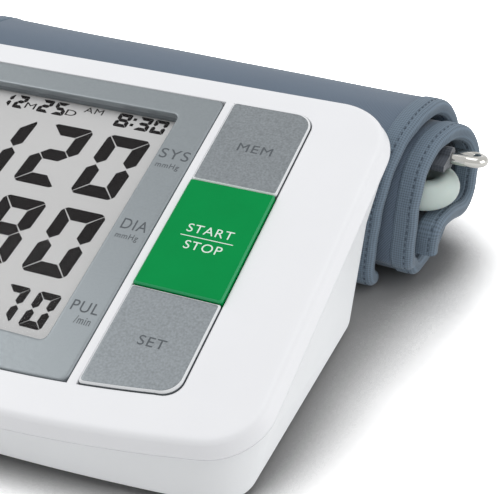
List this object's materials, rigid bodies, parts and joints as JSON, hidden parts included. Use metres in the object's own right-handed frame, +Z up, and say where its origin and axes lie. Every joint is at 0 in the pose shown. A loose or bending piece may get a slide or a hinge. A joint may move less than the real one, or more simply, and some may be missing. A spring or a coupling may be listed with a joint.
{
  "type": "upper arm blood pressure monitor",
  "caption": "Wedge-shaped desk unit with a sloping display and push keys that measures blood pressure, with its inflatable arm cuff rolled up behind it.",
  "frame": {"origin": "on the table, under the middle of the box around the monitor and its rolled cuff, without the hose", "axes": "+X to the right along the front edge, as seen by someone facing the display; +Y to the back, towards the cuff; +Z up"},
  "size_m": [0.1919, 0.1697, 0.0496],
  "materials": {
    "case_white": "fine satin, white",
    "case_grey": "fine satin, pale grey",
    "foot_rubber": "matt",
    "screw_steel": "plated",
    "panel_grey": "satin, metallic grey",
    "clear_window": "clear plastic",
    "display_grey": "reflective display, pale grey",
    "frame_white": "moulded",
    "contact_rubber": "striped",
    "key_grey": "satin, metallic grey",
    "key_green": "satin, green",
    "switch_black": "moulded",
    "board_green": "solder mask",
    "part_black": "moulded",
    "motor_steel": "plated can",
    "pump_plastic": "moulded",
    "shaft_steel": "ground",
    "tube_rubber": "silicone, translucent white",
    "socket_grey": "moulded",
    "cell_skin": "plain sleeve",
    "contact_metal": "plated",
    "spring_steel": "plated wire",
    "cuff_cloth": "slate grey nylon",
    "cuff_lining_cloth": "dark grey nylon",
    "bladder_rubber": "thin sheet",
    "cuff_tape": "woven edge tape",
    "ring_chrome": "polished",
    "port_rubber": "matt",
    "hose_rubber": "matt, pale grey-green"
  },
  "bodies": {
    "monitor": {"upper_case": "case_white", "lower_case": "case_grey", "rubber_feet": "foot_rubber", "case_screws": "screw_steel", "display_panel": "panel_grey", "display_lens": "clear_window", "display_cell": "display_grey", "cell_frame_ring": "frame_white", "contact_strips": "contact_rubber", "key_switches": "switch_black", "main_board": "board_green", "board_screws": "screw_steel", "buzzer": "part_black", "pressure_sensor": "part_black", "pump_motor": "motor_steel", "pump_head": "pump_plastic", "pump_cradle": "port_rubber", "valve_body": "part_black", "air_manifold": "pump_plastic", "inner_tubes": "tube_rubber", "air_socket": "socket_grey", "battery_cells": "cell_skin", "battery_contacts": "contact_metal", "battery_springs": "spring_steel", "battery_bay": "case_white"},
    "mem_key": {"mem_key": "key_grey"},
    "start_key": {"start_key": "key_green"},
    "set_key": {"set_key": "key_grey"},
    "pump_crank": {"pump_crank": "shaft_steel"},
    "valve_plunger": {"valve_plunger": "shaft_steel"},
    "battery_cover": {"battery_cover": "case_grey"},
    "cuff_ring": {"cuff_ring": "ring_chrome"},
    "cuff": {"cuff_outer_cloth": "cuff_cloth", "cuff_lining": "cuff_lining_cloth", "air_bladder": "bladder_rubber", "right_binding": "cuff_tape", "left_binding": "cuff_tape", "ring_hem": "cuff_lining_cloth", "bladder_port": "port_rubber", "air_hose": "hose_rubber", "air_plug": "socket_grey"}
  },
  "joints": [
    {"name": "mem_press", "type": "slide", "parent": "monitor", "child": "mem_key", "axis": [0, 0.3123, -0.95], "range_m": [0, 0.0008], "stiffness_N_per_m": 800},
    {"name": "start_press", "type": "slide", "parent": "monitor", "child": "start_key", "axis": [0, 0.3123, -0.95], "range_m": [0, 0.0008], "stiffness_N_per_m": 800},
    {"name": "set_press", "type": "slide", "parent": "monitor", "child": "set_key", "axis": [0, 0.3123, -0.95], "range_m": [0, 0.0008], "stiffness_N_per_m": 800},
    {"name": "pump_spin", "type": "hinge", "parent": "monitor", "child": "pump_crank", "pos_m": [-0.0477, 0.006, 0.0172], "axis": [1, 0, 0], "continuous": true},
    {"name": "valve_stroke", "type": "slide", "parent": "monitor", "child": "valve_plunger", "axis": [-1, 0, 0], "range_m": [0, 0.0012], "stiffness_N_per_m": 300},
    {"name": "cover_swing", "type": "hinge", "parent": "monitor", "child": "battery_cover", "pos_m": [0.01505, -0.03315, 0.0015], "axis": [-1, 0, 0], "range_deg": [0, 75]},
    {"name": "cuff_slide", "type": "slide", "parent": "monitor", "child": "cuff", "axis": [0, 1, 0], "range_m": [0, 0.15]},
    {"name": "ring_swing", "type": "hinge", "parent": "cuff", "child": "cuff_ring", "pos_m": [0.06337, 0.0456, 0.03293], "axis": [0.9988, -0.0489, 0], "range_deg": [-9, 12]}
  ]
}
